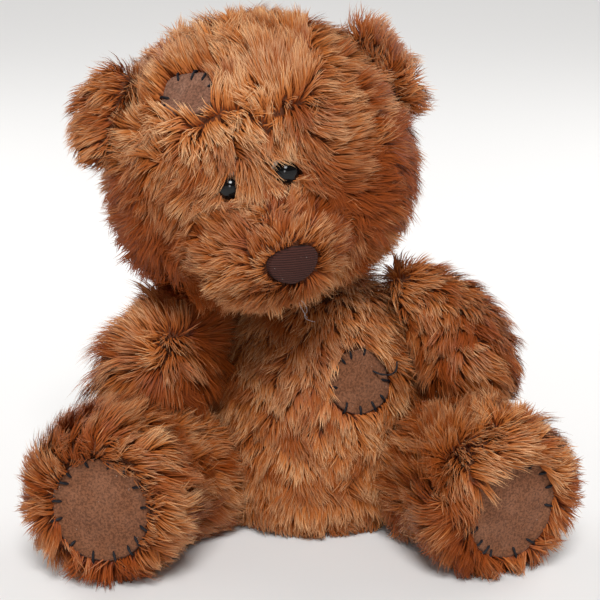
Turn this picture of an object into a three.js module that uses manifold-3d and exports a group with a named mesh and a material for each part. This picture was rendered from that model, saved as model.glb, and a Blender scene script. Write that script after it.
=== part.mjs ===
// Sitting plush bear, unjointed: sewn plush panels over separate fibre stuffings, suede foot pads
// and patches, a ribbed cloth nose and two plastic eyes on locking washers.
// Millimetres, +Z up. The bear sits on z = 0 and faces -Y; its own left side is +X.
import * as THREE from "three";
import { mergeVertices } from "three/addons/utils/BufferGeometryUtils.js";
import Module from "manifold-3d";

const wasm = await Module();
wasm.setup();

// ---------------------------------------------------------------- driving dimensions
const SKIN = 5; // plush: knitted backing with the dense lower part of its pile
const GAP = 0.3; // clearance between pieces that touch
const FAR = 400; // size of a cutting block, larger than the bear
const PLUG_LONG = 30; // length of a plug that cuts an outline through cloth
const MERGE = 1e-3; // corners nearer than this are one

// How many faces each form has, along it and round it.
const FACES = {
  torso: [10, 18],
  skull: [20, 11],
  muzzle: [14, 9],
  arm: [8, 12],
  leg: [10, 14],
  outline: 16,
  ear: 16,
  eye: 12,
};

const TORSO = { x: 8, y: 4, wide: 57, deep: 51, seamY: 4 };
const TORSO_PROFILE = [
  [0, -9], [32, -8], [50, 4], [57, 30], [56, 62], [51, 88], [41, 114], [23, 132], [0, 138],
];

const HEAD = { at: [-21, -13, 191], roll: 15, pitch: 9, yaw: 2 };
const SKULL = { wide: 74, deep: 63, tall: 69, taper: 0.09, fullness: 2.3 };
const MUZZLE = { at: [-4, -57, -23], wide: 38, deep: 36, tall: 28, seam: 2 };
const GUSSET_HALF = 23;

const EAR = { radius: 25.5, thick: 7.5, cup: 5, root: 3, rim: 0.25, steps: [0, 0.35, 0.65, 0.88, 1] };
const EARS = {
  right: { azimuth: -80, elevation: 35, turn: 60, lean: 5 },
  left: { azimuth: 92, elevation: 20, turn: 78, lean: 0 },
};

const ARM_PROFILE = [[0, 0], [15, 3], [22, 16], [25, 34], [28, 52], [27.5, 68], [20, 81], [0, 87]];
const ARMS = {
  right: [[-40, 4, 118], [-58, -6, 104], [-71, -22, 87], [-74, -38, 66]],
  left: [[38, 6, 118], [64, 6, 110], [83, -1, 90], [84, -14, 60]],
};

const LEG_PROFILE = [
  [0, 0], [24, 3], [32, 16], [33, 40], [35, 66], [40, 88], [40, 103], [33, 113], [23, 116], [0, 117],
];
const LEG_TALL = 1.05; // legs are a little taller than wide
const LEGS = {
  right: [[-34, 6, 26], [-62, -24, 31], [-87, -64, 41], [-95, -107, 39.5]],
  left: [[44, 4, 26], [68, -22, 30], [88, -60, 39], [104, -94, 35]],
};
const SOLE = { wide: 23.5, tall: 26.5, sunk: 3 };

const PATCH = { sunk: 2.5, thick: 1.5 };
const CHEST_PATCH = { azimuth: 31, height: 83, wide: 16.5, tall: 15.5, spin: 8 };
const HEAD_PATCH = { azimuth: -33, elevation: 53, wide: 14, tall: 10.5, spin: -10 };

const NOSE = { azimuth: 5, elevation: -14, wide: 12.5, tall: 9, sunk: 3, proud: 1.2 };

const EYE = { radius: 6, rim: 1, dome: 4.6, sunk: 3.6, shank: 2, shankLong: 9 };
const WASHER = { radius: 7, thick: 1.6, off: 1 };
const EYES = {
  right: { azimuth: -13, elevation: 10.5 },
  left: { azimuth: 13, elevation: 10.5 },
};

// ---------------------------------------------------------------- materials
const cloth = (color, roughness) => new THREE.MeshStandardMaterial({ color, roughness, metalness: 0 });
const PLUSH = cloth(0x9a5a2e, 0.85);
const EAR_PLUSH = cloth(0x94502a, 0.85);
const SUEDE = cloth(0x83604c, 0.95);
const NOSE_CLOTH = cloth(0x3f2521, 0.8);
const FIBRE = cloth(0xe9e6df, 0.95);
const EYE_PLASTIC = cloth(0x08080a, 0.12);
const WASHER_PLASTIC = cloth(0xd8d8d4, 0.45);

// ---------------------------------------------------------------- solids
const radians = THREE.MathUtils.degToRad;

function bare(geometry) {
  const copy = geometry.clone();
  copy.deleteAttribute("normal");
  copy.deleteAttribute("uv");
  return mergeVertices(copy, MERGE);
}

function solidOf(geometry) {
  const merged = bare(geometry);
  const vertProperties = merged.attributes.position.array;
  const triVerts = new Uint32Array(merged.index.array);
  return new wasm.Manifold(new wasm.Mesh({ numProp: 3, vertProperties, triVerts }));
}

// The same closed form with its surface moved outwards by a distance, or inwards if negative.
function grown(geometry, distance) {
  const merged = bare(geometry);
  merged.computeVertexNormals();
  const position = merged.attributes.position;
  const normal = merged.attributes.normal;
  const point = new THREE.Vector3();
  const out = new THREE.Vector3();
  for (let i = 0; i < position.count; i++) {
    point.fromBufferAttribute(position, i);
    out.fromBufferAttribute(normal, i);
    point.addScaledVector(out, distance);
    position.setXYZ(i, point.x, point.y, point.z);
  }
  return solidOf(merged);
}

function meshOf(name, solid, material) {
  const { vertProperties, triVerts } = solid.getMesh();
  const geometry = new THREE.BufferGeometry();
  geometry.setAttribute("position", new THREE.BufferAttribute(new Float32Array(vertProperties), 3));
  geometry.setIndex(new THREE.BufferAttribute(new Uint32Array(triVerts), 1));
  geometry.computeVertexNormals();
  const mesh = new THREE.Mesh(geometry, material);
  mesh.name = name;
  return mesh;
}

const moved = (solid, matrix) => solid.transform([...matrix.elements]);
const union = (solids) => solids.reduce((a, b) => a.add(b));

// A frame at a point with its own Z along a direction, and its X kept level where it can be.
function frameAt(point, direction, spin = 0) {
  const z = new THREE.Vector3(...direction).normalize();
  const x = new THREE.Vector3(0, 0, 1).cross(z).normalize();
  const y = new THREE.Vector3().crossVectors(z, x);
  const turned = new THREE.Matrix4().makeBasis(x, y, z);
  return turned.multiply(new THREE.Matrix4().makeRotationZ(radians(spin))).setPosition(...point);
}

// Everything on one side of a plane, half a gap away from it.
function beyond(point, normal) {
  const block = new THREE.BoxGeometry(FAR, FAR, FAR).translate(0, 0, FAR / 2 + GAP / 2);
  return moved(solidOf(block), frameAt(point, normal));
}

function split(solid, point, normal) {
  const back = normal.map((v) => -v);
  return [solid.intersect(beyond(point, normal)), solid.intersect(beyond(point, back))];
}

function aboveFloor(solid, height) {
  const ground = new THREE.BoxGeometry(FAR, FAR, FAR).translate(0, 0, height - FAR / 2);
  return solid.subtract(solidOf(ground));
}

// A plug along Z with a rounded outline: power 2 is an oval, more is squarer, taper widens its top.
function plug(wide, tall, { power = 2, taper = 0 } = {}) {
  const round = (v) => Math.sign(v) * Math.abs(v) ** (2 / power);
  const outline = Array.from({ length: FACES.outline }, (_, i) => {
    const angle = (i / FACES.outline) * Math.PI * 2;
    const y = round(Math.sin(angle));
    return new THREE.Vector2(round(Math.cos(angle)) * wide * (1 + taper * y), y * tall);
  });
  const straight = { depth: PLUG_LONG, bevelEnabled: false };
  const form = new THREE.ExtrudeGeometry(new THREE.Shape(outline), straight);
  return solidOf(form.translate(0, 0, -PLUG_LONG / 2));
}

// A profile of [radius, height] points, turned about Y.
function turnedForm(profile, [rows, sides]) {
  const curve = new THREE.SplineCurve(profile.map(([r, h]) => new THREE.Vector2(r, h)));
  const points = curve.getPoints(rows).map((p) => new THREE.Vector2(Math.max(p.x, 0), p.y));
  points[0].x = 0;
  points[rows].x = 0;
  return new THREE.LatheGeometry(points, sides);
}

// Lays a turned form's own axis along a smooth path, so a straight limb takes its bend.
function laidAlong(form, path, tall = 1) {
  const curve = new THREE.CatmullRomCurve3(path.map((p) => new THREE.Vector3(...p)));
  form.computeBoundingBox();
  const length = form.boundingBox.max.y;
  const position = form.attributes.position;
  const up = new THREE.Vector3(0, 0, 1);
  for (let i = 0; i < position.count; i++) {
    const t = THREE.MathUtils.clamp(position.getY(i) / length, 0, 1);
    const along = curve.getTangentAt(t);
    const side = new THREE.Vector3().crossVectors(along, up).normalize();
    const rise = new THREE.Vector3().crossVectors(side, along);
    const point = curve.getPointAt(t);
    point.addScaledVector(side, position.getX(i));
    point.addScaledVector(rise, position.getZ(i) * tall);
    position.setXYZ(i, point.x, point.y, point.z);
  }
  return form;
}

// ---------------------------------------------------------------- torso
const torsoForm = turnedForm(TORSO_PROFILE, FACES.torso)
  .rotateX(Math.PI / 2)
  .scale(1, TORSO.deep / TORSO.wide, 1)
  .translate(TORSO.x, TORSO.y, 0);
const torsoAt = (distance) => aboveFloor(grown(torsoForm, distance), -Math.min(distance, 0));

// ---------------------------------------------------------------- head, in its own frame
const headFrame = new THREE.Matrix4()
  .makeRotationFromEuler(
    new THREE.Euler(radians(HEAD.pitch), radians(-HEAD.roll), radians(HEAD.yaw), "ZYX"),
  )
  .setPosition(...HEAD.at);
const toHead = headFrame.clone().invert();

function skullForm() {
  const form = new THREE.SphereGeometry(1, ...FACES.skull).rotateX(Math.PI / 2);
  const position = form.attributes.position;
  const point = new THREE.Vector3();
  for (let i = 0; i < position.count; i++) {
    point.fromBufferAttribute(position, i);
    const powers = point.toArray().map((v) => Math.abs(v) ** SKULL.fullness);
    point.multiplyScalar((powers[0] + powers[1] + powers[2]) ** (-1 / SKULL.fullness));
    position.setXYZ(i, point.x * (1 - SKULL.taper * point.z), point.y, point.z);
  }
  return form.scale(SKULL.wide, SKULL.deep, SKULL.tall);
}

const skull = skullForm();
const muzzle = new THREE.SphereGeometry(1, ...FACES.muzzle)
  .rotateX(Math.PI / 2)
  .scale(MUZZLE.wide, MUZZLE.deep, MUZZLE.tall)
  .translate(...MUZZLE.at);
const headAt = (distance) => grown(skull, distance).add(grown(muzzle, distance));

// A direction from the head's centre: azimuth from the face towards the bear's left.
function aim({ azimuth, elevation }) {
  const level = Math.cos(radians(elevation));
  const across = Math.sin(radians(azimuth)) * level;
  const ahead = -Math.cos(radians(azimuth)) * level;
  return new THREE.Vector3(across, ahead, Math.sin(radians(elevation)));
}

// Where a ray from a centre along a direction leaves a closed form.
function surfacePoint(form, direction, centre = new THREE.Vector3()) {
  const mesh = new THREE.Mesh(form, new THREE.MeshBasicMaterial({ side: THREE.DoubleSide }));
  mesh.updateMatrixWorld(true);
  const hits = new THREE.Raycaster(centre, direction.clone().normalize()).intersectObject(mesh);
  return hits[hits.length - 1].point;
}

// A frame on an oval form, its Z square to the surface.
function outwardFrame(point, { wide, deep, tall, at = [0, 0, 0] }, spin = 0) {
  const from = point.clone().sub(new THREE.Vector3(...at));
  const normal = [from.x / wide ** 2, from.y / deep ** 2, from.z / tall ** 2];
  return frameAt(point.toArray(), normal, spin);
}

// ---------------------------------------------------------------- limbs
const armForm = (path) => laidAlong(turnedForm(ARM_PROFILE, FACES.arm), path);
const legForm = (path) => laidAlong(turnedForm(LEG_PROFILE, FACES.leg), path, LEG_TALL);
const arms = { right: armForm(ARMS.right), left: armForm(ARMS.left) };
const legs = { right: legForm(LEGS.right), left: legForm(LEGS.left) };
const legAt = (side, distance) => aboveFloor(grown(legs[side], distance), -Math.min(distance, 0));

// Where a limb ends, facing along it.
function endFrame(path) {
  const curve = new THREE.CatmullRomCurve3(path.map((p) => new THREE.Vector3(...p)));
  return frameAt(path[path.length - 1], curve.getTangentAt(1).toArray());
}

// A direction square to a limb's run, on the side of a hint.
function acrossLimb(path, hint) {
  const run = new THREE.Vector3(...path[path.length - 1]).sub(new THREE.Vector3(...path[0]));
  return new THREE.Vector3(...hint).projectOnPlane(run.normalize()).normalize().toArray();
}

// ---------------------------------------------------------------- sewn-on cloth
// A piece let into the pile of a form: its own solid, and the recess that it needs.
function letIn(at, frame, [wide, tall, shape], sunk, thick) {
  const inside = moved(plug(wide, tall, shape), frame);
  const clear = moved(plug(wide + GAP, tall + GAP, shape), frame);
  const piece = inside.intersect(at(thick - sunk + GAP).subtract(at(GAP - sunk)));
  return { piece, recess: clear.subtract(at(-sunk)) };
}

const chestDirection = aim({ azimuth: CHEST_PATCH.azimuth, elevation: 0 });
const chestCentre = new THREE.Vector3(TORSO.x, TORSO.y, CHEST_PATCH.height);
const chestPoint = surfacePoint(torsoForm, chestDirection, chestCentre);
const chestPatch = letIn(
  torsoAt,
  frameAt(chestPoint.toArray(), chestDirection.toArray(), CHEST_PATCH.spin),
  [CHEST_PATCH.wide, CHEST_PATCH.tall, { power: 2.5 }],
  PATCH.sunk,
  PATCH.thick,
);

const headPatch = letIn(
  headAt,
  outwardFrame(surfacePoint(skull, aim(HEAD_PATCH)), SKULL, HEAD_PATCH.spin),
  [HEAD_PATCH.wide, HEAD_PATCH.tall, { power: 4 }],
  PATCH.sunk,
  PATCH.thick,
);

const nose = letIn(
  headAt,
  outwardFrame(surfacePoint(muzzle, aim(NOSE)), MUZZLE),
  [NOSE.wide, NOSE.tall, { power: 2.3, taper: 0.16 }],
  NOSE.sunk,
  NOSE.sunk + NOSE.proud,
);

// ---------------------------------------------------------------- eyes
function turned(points, frame) {
  const profile = points.map(([r, h]) => new THREE.Vector2(r, h));
  const form = new THREE.LatheGeometry(profile, FACES.eye).rotateX(Math.PI / 2);
  return moved(solidOf(form), frame);
}

function rod(radius, from, to, frame) {
  return turned([[0, from], [radius, from], [radius, to], [0, to]], frame);
}

// A domed eye on a shank, the washer that locks it behind the plush, and the room that both need.
function eyeSet(place) {
  const frame = outwardFrame(surfacePoint(skull, aim(place)), SKULL);
  const base = GAP - EYE.sunk;
  const rim = base + EYE.rim;
  const tail = base - EYE.shankLong;
  const dome = [1, 0.82, 0.5, 0].map((c) => [EYE.radius * c, rim + EYE.dome * Math.sqrt(1 - c * c)]);
  const stem = [[0, tail], [EYE.shank, tail], [EYE.shank, base], [EYE.radius, base]];
  const washerTop = -SKIN - WASHER.off;
  const washerFoot = washerTop - WASHER.thick;
  const shankRoom = rod(EYE.shank + GAP, tail - GAP, 0, frame);
  const eyeRoom = rod(EYE.radius + GAP, -EYE.sunk, PLUG_LONG, frame);
  const washerRoom = rod(WASHER.radius + GAP, washerFoot - GAP, 0, frame);
  return {
    eye: turned([...stem, ...dome], frame),
    washer: rod(WASHER.radius, washerFoot, washerTop, frame).subtract(shankRoom),
    skinCut: eyeRoom.add(shankRoom),
    stuffingCut: washerRoom.add(shankRoom),
  };
}

const eyes = { right: eyeSet(EYES.right), left: eyeSet(EYES.left) };

// ---------------------------------------------------------------- ears
// One layer of an ear: a shallow dome on the seam plane, then cupped towards the face.
function earLayer(front) {
  const rise = front ? EAR.thick : -EAR.thick;
  const seam = front ? GAP / 2 : -GAP / 2;
  const crown = EAR.steps.map((s) => {
    const height = seam + rise * (EAR.rim + (1 - EAR.rim) * s);
    return [EAR.radius * Math.sqrt(1 - s * s), height];
  });
  const profile = [[0, seam], [EAR.radius, seam], ...crown].map(([r, h]) => new THREE.Vector2(r, h));
  profile[profile.length - 1].x = 0;
  if (!front) profile.reverse();
  const form = new THREE.LatheGeometry(profile, FACES.ear);
  const position = form.attributes.position;
  for (let i = 0; i < position.count; i++) {
    const out = Math.hypot(position.getX(i), position.getZ(i)) / EAR.radius;
    position.setY(i, position.getY(i) + EAR.cup * out * out);
  }
  const inner = new THREE.BoxGeometry(FAR, FAR, FAR).translate(-FAR / 2 - EAR.root, 0, 0);
  return solidOf(form).subtract(solidOf(inner));
}

// An ear stands out from the skull; turn folds it back from facing forwards to lying along the side.
function earFrame({ azimuth, elevation, turn, lean }) {
  const radial = aim({ azimuth, elevation });
  const along = new THREE.Vector3(0, -1, 0).cross(radial).normalize();
  if (along.z < 0) along.negate();
  along.applyAxisAngle(radial, radians(lean));
  const ahead = new THREE.Vector3().crossVectors(along, radial);
  if (ahead.y > 0) ahead.negate();
  const out = radial.clone().multiplyScalar(Math.cos(radians(turn)));
  out.addScaledVector(ahead, -Math.sin(radians(turn)));
  const face = ahead.multiplyScalar(Math.cos(radians(turn)));
  face.addScaledVector(radial, Math.sin(radians(turn)));
  const basis = new THREE.Matrix4().makeBasis(out, face, new THREE.Vector3().crossVectors(out, face));
  return basis.setPosition(surfacePoint(skull, radial));
}

// ---------------------------------------------------------------- assembly
const bear = new THREE.Group();

// The torso stays whole, and everything sewn to it is trimmed to its surface.
const seam = [TORSO.x, TORSO.seamY, 0];
const torsoShell = torsoAt(0).subtract(torsoAt(-SKIN)).subtract(chestPatch.recess);
const [torsoBack, torsoFront] = split(torsoShell, seam, [0, 1, 0]);
const [backLeft, backRight] = split(torsoBack, seam, [1, 0, 0]);
const torso = new THREE.Group();
torso.add(
  meshOf("torso_front_panel", torsoFront, PLUSH),
  meshOf("torso_back_left_panel", backLeft, PLUSH),
  meshOf("torso_back_right_panel", backRight, PLUSH),
  meshOf("torso_stuffing", torsoAt(-SKIN - GAP), FIBRE),
  meshOf("chest_patch", chestPatch.piece, SUEDE),
);
bear.add(torso);

// The head's pieces are made in its own frame; its group bows and rolls them together.
const neckRoom = moved(torsoAt(GAP), toHead);
const headCuts = [neckRoom, headPatch.recess, nose.recess, eyes.right.skinCut, eyes.left.skinCut];
const headShell = headAt(0).subtract(headAt(-SKIN)).subtract(union(headCuts));
const muzzleZone = grown(muzzle, MUZZLE.seam);
const aroundMuzzle = headShell.subtract(grown(muzzle, MUZZLE.seam + GAP));

// The gusset runs from the muzzle over the crown to the neck, and the side panels meet under the chin.
function gussetStrip(extra) {
  const wide = 2 * (GUSSET_HALF + extra);
  const strip = new THREE.BoxGeometry(wide, FAR, FAR);
  const chin = new THREE.BoxGeometry(FAR, FAR, FAR).translate(0, -FAR / 2 - extra, -FAR / 2 - extra);
  return solidOf(strip).subtract(solidOf(chin));
}

const sides = aroundMuzzle.subtract(gussetStrip(GAP));
const [sideLeft, sideRight] = split(sides, [0, 0, 0], [1, 0, 0]);
const washerRooms = [eyes.right.stuffingCut, eyes.left.stuffingCut];
const head = new THREE.Group();
head.position.set(...HEAD.at);
head.quaternion.setFromRotationMatrix(headFrame);
head.add(
  meshOf("head_left_panel", sideLeft, PLUSH),
  meshOf("head_right_panel", sideRight, PLUSH),
  meshOf("head_gusset", aroundMuzzle.intersect(gussetStrip(0)), PLUSH),
  meshOf("muzzle_panel", headShell.intersect(muzzleZone), PLUSH),
  meshOf("head_stuffing", headAt(-SKIN - GAP).subtract(union([neckRoom, ...washerRooms])), FIBRE),
  meshOf("head_patch", headPatch.piece, SUEDE),
  meshOf("nose", nose.piece, NOSE_CLOTH),
);
const headClear = headAt(GAP);
for (const side of ["left", "right"]) {
  const place = earFrame(EARS[side]);
  head.add(
    meshOf(`ear_${side}_front_panel`, moved(earLayer(true), place).subtract(headClear), EAR_PLUSH),
    meshOf(`ear_${side}_back_panel`, moved(earLayer(false), place).subtract(headClear), EAR_PLUSH),
    meshOf(`eye_${side}`, eyes[side].eye, EYE_PLASTIC),
    meshOf(`eye_washer_${side}`, eyes[side].washer, WASHER_PLASTIC),
  );
}
bear.add(head);

const bodyClear = torsoAt(GAP).add(moved(headClear, headFrame));
for (const [side, outward] of [["left", 1], ["right", -1]]) {
  const sole = endFrame(LEGS[side]);
  const soleHole = moved(plug(SOLE.wide + GAP, SOLE.tall + GAP), sole);
  const solePlug = moved(plug(SOLE.wide, SOLE.tall), sole);
  const pad = legAt(side, -SOLE.sunk).subtract(legAt(side, -SKIN)).intersect(solePlug);
  const legShell = legAt(side, 0).subtract(legAt(side, -SKIN)).subtract(bodyClear).subtract(soleHole);
  const legAcross = acrossLimb(LEGS[side], [outward, 0, 0]);
  const [legOuter, legInner] = split(legShell, LEGS[side][2], legAcross);
  const leg = new THREE.Group();
  leg.add(
    meshOf(`leg_${side}_outer_panel`, legOuter, PLUSH),
    meshOf(`leg_${side}_inner_panel`, legInner, PLUSH),
    meshOf(`leg_${side}_stuffing`, legAt(side, -SKIN - GAP).subtract(bodyClear), FIBRE),
    meshOf(`foot_pad_${side}`, pad, SUEDE),
  );
  bear.add(leg);

  const armRoom = bodyClear.add(legAt(side, GAP));
  const armShell = grown(arms[side], 0).subtract(grown(arms[side], -SKIN)).subtract(armRoom);
  const armAcross = acrossLimb(ARMS[side], [outward, 0, 0]);
  const [armOuter, armInner] = split(armShell, ARMS[side][1], armAcross);
  const arm = new THREE.Group();
  arm.add(
    meshOf(`arm_${side}_outer_panel`, armOuter, PLUSH),
    meshOf(`arm_${side}_inner_panel`, armInner, PLUSH),
    meshOf(`arm_${side}_stuffing`, grown(arms[side], -SKIN - GAP).subtract(armRoom), FIBRE),
  );
  bear.add(arm);
}

// The part's origin is the middle of its footprint, on the surface that it sits on.
const extent = new THREE.Box3().setFromObject(bear, true);
const middle = extent.getCenter(new THREE.Vector3());
bear.position.set(-middle.x, -middle.y, -extent.min.z);
const part = new THREE.Group();
part.add(bear);

export default part;
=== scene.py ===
"""Sitting plush bear: its padded skins, long clumped pile, suede, stitches, nose cloth and eyes.

Metres, +Z up. The bear faces -Y, and its own left side is +X.
"""
import math

import bmesh
import bpy
import numpy as np
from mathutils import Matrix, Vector
from mathutils.bvhtree import BVHTree
from mathutils.kdtree import KDTree


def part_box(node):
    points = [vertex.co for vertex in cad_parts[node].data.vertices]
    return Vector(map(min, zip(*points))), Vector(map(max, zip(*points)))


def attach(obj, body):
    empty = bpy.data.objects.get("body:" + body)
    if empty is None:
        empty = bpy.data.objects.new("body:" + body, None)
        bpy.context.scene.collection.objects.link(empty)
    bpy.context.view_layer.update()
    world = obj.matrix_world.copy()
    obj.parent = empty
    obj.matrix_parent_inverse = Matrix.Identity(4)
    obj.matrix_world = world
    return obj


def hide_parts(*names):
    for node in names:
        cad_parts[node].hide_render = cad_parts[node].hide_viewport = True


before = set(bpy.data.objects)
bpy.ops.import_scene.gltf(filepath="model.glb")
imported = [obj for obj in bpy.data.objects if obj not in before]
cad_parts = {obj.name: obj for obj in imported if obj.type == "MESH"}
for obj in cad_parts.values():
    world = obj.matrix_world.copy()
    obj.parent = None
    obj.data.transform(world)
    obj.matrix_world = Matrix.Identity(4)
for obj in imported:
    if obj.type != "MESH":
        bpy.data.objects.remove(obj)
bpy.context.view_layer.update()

MM = 0.001
SEED = 20260

# ------------------------ driving values
VOXEL = 3.5 * MM          # how finely a skin is remeshed before it swells
BACKING = 4.0 * MM        # the knitted backing lies this far under the outside of the panels
EAR_VOXEL = 2.0 * MM
EAR_BACKING = 1.0 * MM
SWELL = 1.5 * MM          # how far a panel may swell between its seams
SWELL_FRAMES = 12
FLOOR_CLEAR = 0.4 * MM    # pile lies this far above the floor

PATCH_LIFT = 3.0 * MM     # how far a patch or pad stands over the backing
PATCH_CROWN = 0.5 * MM    # how much higher its middle stands than its edge
PAD_CROWN = 1.2 * MM
SUEDE_THICK = 1.0 * MM
NOSE_LIFT = 4.2 * MM
NOSE_CROWN = 1.6 * MM
NOSE_THICK = 2.0 * MM
EDGE_ROUNDS = 0.93        # where sewn-on cloth starts to round over, as a share of the way out
PULL_STARTS = 0.72        # where a stitch starts to pull it down
PULL_WIDTH = 0.09         # radians to each side of a stitch
PULL = 0.5 * MM

STITCH_RADIUS = 0.62 * MM
LOOP_RADIUS = 0.45 * MM
CHIN_THREAD_RADIUS = 0.065 * MM
STITCH_IN = 4.4 * MM      # how far a stitch reaches in from the edge
STITCH_OUT = 1.5 * MM     # how far it reaches out past it
STITCH_ARCH = 0.9 * MM    # how high it rises between its ends
STITCH_SUNK = 0.3 * MM    # how deep its ends sink in
PLIES = 2
TWIST = 900.0             # radians that a ply turns in a metre of thread
PLY_DEPTH = 0.16          # how far the grooves between plies cut in, as a share of the radius
THREAD_END = 0.55         # how thick a cut end is, as a share of the radius

EYE_RADIUS = 6 * MM
EYE_DOME = 4.6 * MM       # how high the dome is
EYE_RIM = 1 * MM
SHANK_RADIUS = 2 * MM
SHANK_LENGTH = 9 * MM
EYE_SIDES = 40

STRANDS_PER_MM2 = 1.35
UNDERCOAT = 0.5           # share of the strands that are short, plain and lie underneath
STRAND_WIDTH = 0.5 * MM   # at the widest part of a long strand
UNDER_WIDTH = 0.72 * MM   # at the widest part of a short one
LOCKS = 0.022             # share of the strands that lead a lock
LOCKS_DIFFER = 0.13       # how much locks differ in length, tone, lean and curl
PALE_STRANDS = 0.06       # share of the strands that have bleached
BENDS = (0.35, 0.85, 1.2)  # how far each third of a strand has bent, as a share of its lean
LEAN_LIMITS = (0.1, 1.4)  # radians
STRAND_LENGTHS = (0.72, 1.10)  # the shortest and longest in a lock, as shares of its length
STRAND_WIDTHS = (0.7, 1.25)
STRAND_STRAY = 0.11       # radians that a strand turns away from its lock
STRAND_ROLL = 0.6         # radians that a strand may roll to either side
CURL_POINTS = np.array([0, 0.1, 0.45, 1.0])      # how far each point of a strand curls aside
GATHER_POINTS = np.array([0.0, 0.4, 0.8, 0.85])  # how far each draws towards its lock
FRIZZ_POINTS = np.array([0, 0.7, 1.0, 1.8])      # how far each strays at random
FRIZZ = 0.16 * MM
SWIRL_SIZE = 45 * MM
TONE_PATCHES = 26 * MM    # how wide the lighter and darker patches are
SEAT = 3 * MM             # pile that faces the floor is left out below this height
ROOT_ROOM = 2.5 * MM      # a root needs this much room between it and the next padded part
CLOTH_NEAR = 15 * MM      # nothing is rooted under sewn-on cloth, this far above and below it
CLOTH_BAND = (-12 * MM, 25 * MM)  # strands are kept off the cloth between these heights

PARTING = 31 * MM         # how far above the eyes the pile parts across the forehead
PARTING_BACK = 62 * MM    # how far behind the eyes it ends
PARTING_LEFT = 38 * MM    # how far to the bear's left of them it ends
CHEEK = 46 * MM           # how far out from the middle of the face the pile lies outwards

CAMERA_TARGET = Vector((-0.0017, 0.0072, 0.121))
CAMERA_AWAY = 1.0
CAMERA_ELEVATION = math.radians(15)
CAMERA_LENS = 120

KEY_PLACE = (0.02, -0.95, 1.15)
KEY_STRENGTH = 3.1
KEY_ANGLE = math.radians(22)
LAMP_TARGET = Vector((0, 0, 0.12))
LAMPS = {                 # place, width across and power
    "front": ((-0.15, -1.5, 0.55), 0.35, 2.0),
    "back_left": ((1.1, 0.75, 0.85), 0.9, 8),
    "back_right": ((-1.1, 0.75, 0.85), 0.9, 8),
}
SKY_COLOUR = (1.0, 0.99, 0.98, 1)
SKY_STRENGTH = 0.16
HORIZON_STRENGTH = 0.68
FLOOR_COLOUR = (0.79, 0.78, 0.77, 1)
LINT_COLOUR = (0.62, 0.56, 0.5, 1)
NOISE = {                 # how fine each pattern is: about how many of its marks make a metre
    "brushed": 90.0, "stains": 45.0, "grain": 900.0, "slubs": 2200.0, "specks": 420.0,
    "speck_groups": 260.0, "matting": 700.0, "eye_haze": 300.0, "washer_haze": 180.0,
}
FLOOR_HALF = 14.0


# ------------------------ small helpers
def link(obj):
    bpy.context.scene.collection.objects.link(obj)
    return obj


def unit(vectors):
    return vectors / np.maximum(np.linalg.norm(vectors, axis=-1, keepdims=True), 1e-12)


def centre_of(*nodes):
    """The middle of the box round these CAD nodes."""
    corners = np.array([list(corner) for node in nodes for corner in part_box(node)])
    return (corners.min(0) + corners.max(0)) / 2


def place_in(node, shares):
    """A point in a node's box, each share from 0 at the low side to 1 at the high one."""
    low, high = (np.array(corner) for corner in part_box(node))
    return low + (high - low) * np.array(shares)


def table_of(items, attribute, width, kind):
    """An attribute of a mesh's vertices, edges or triangles, one row for each."""
    values = np.empty(len(items) * width, kind)
    items.foreach_get(attribute, values)
    return values.reshape(-1, width)


def vertices_of(mesh, attribute="co"):
    return table_of(mesh.vertices, attribute, 3, np.float32).astype(float)


def triangles_of(mesh):
    mesh.calc_loop_triangles()
    return table_of(mesh.loop_triangles, "vertices", 3, np.int32)


def ripples(points, size, seed):
    """Smooth vectors that turn over about that size, the same ones each time."""
    waves = 10
    rng = np.random.default_rng(seed)
    heading = unit(rng.normal(size=(waves, 3))) * rng.uniform(0.6, 1.5, (waves, 1))
    phase = rng.uniform(0, 2 * math.pi, (waves, 3))
    turns = (points @ heading.T)[:, :, None] * (2 * math.pi / size) + phase
    return np.sin(turns).sum(1) / math.sqrt(waves / 2)


def shaded_smooth(mesh):
    mesh.polygons.foreach_set("use_smooth", [True] * len(mesh.polygons))


def mesh_object(name, points, faces):
    mesh = bpy.data.meshes.new(name)
    mesh.from_pydata([tuple(p) for p in points], [], [tuple(f) for f in faces])
    mesh.update()
    shaded_smooth(mesh)
    return link(bpy.data.objects.new(name, mesh))


def faces_between(first, rings, around, order=(0, 1, 2, 3)):
    """The four-sided faces between rings of points, from the first ring's first point on."""
    faces = []
    for a in range(first, first + (rings - 1) * around, around):
        for i in range(around):
            j = (i + 1) % around
            corners = (a + i, a + around + i, a + around + j, a + j)
            faces.append([corners[k] for k in order])
    return faces


def cap_faces(around):
    """The triangles from point 0 to the ring of points that follows it."""
    return [(0, 1 + i, 1 + (i + 1) % around) for i in range(around)]


def faced_out(obj):
    """Turns a closed mesh's faces so that they point out."""
    body = bmesh.new()
    body.from_mesh(obj.data)
    bmesh.ops.recalc_face_normals(body, faces=body.faces)
    body.to_mesh(obj.data)
    body.free()


def dressed(obj, material):
    """Gives a piece its material, and sets it riding on the bear."""
    obj.data.materials.clear()
    obj.data.materials.append(material)
    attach(obj, "root")
    return obj


# ------------------------ camera, light and floor
def add_camera():
    camera = link(bpy.data.objects.new("camera", bpy.data.cameras.new("camera")))
    back = Vector((0, -math.cos(CAMERA_ELEVATION), math.sin(CAMERA_ELEVATION)))
    camera.location = CAMERA_TARGET + back * CAMERA_AWAY
    camera.rotation_euler = (-back).to_track_quat("-Z", "Y").to_euler()
    camera.data.lens = CAMERA_LENS
    camera.data.clip_start = 0.05
    bpy.context.scene.camera = camera


def aimed(light, place):
    """Sets a lamp at a place, facing the middle of the bear."""
    lamp = link(bpy.data.objects.new(light.name, light))
    lamp.location = place
    lamp.rotation_euler = (LAMP_TARGET - Vector(place)).to_track_quat("-Z", "Y").to_euler()


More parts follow.
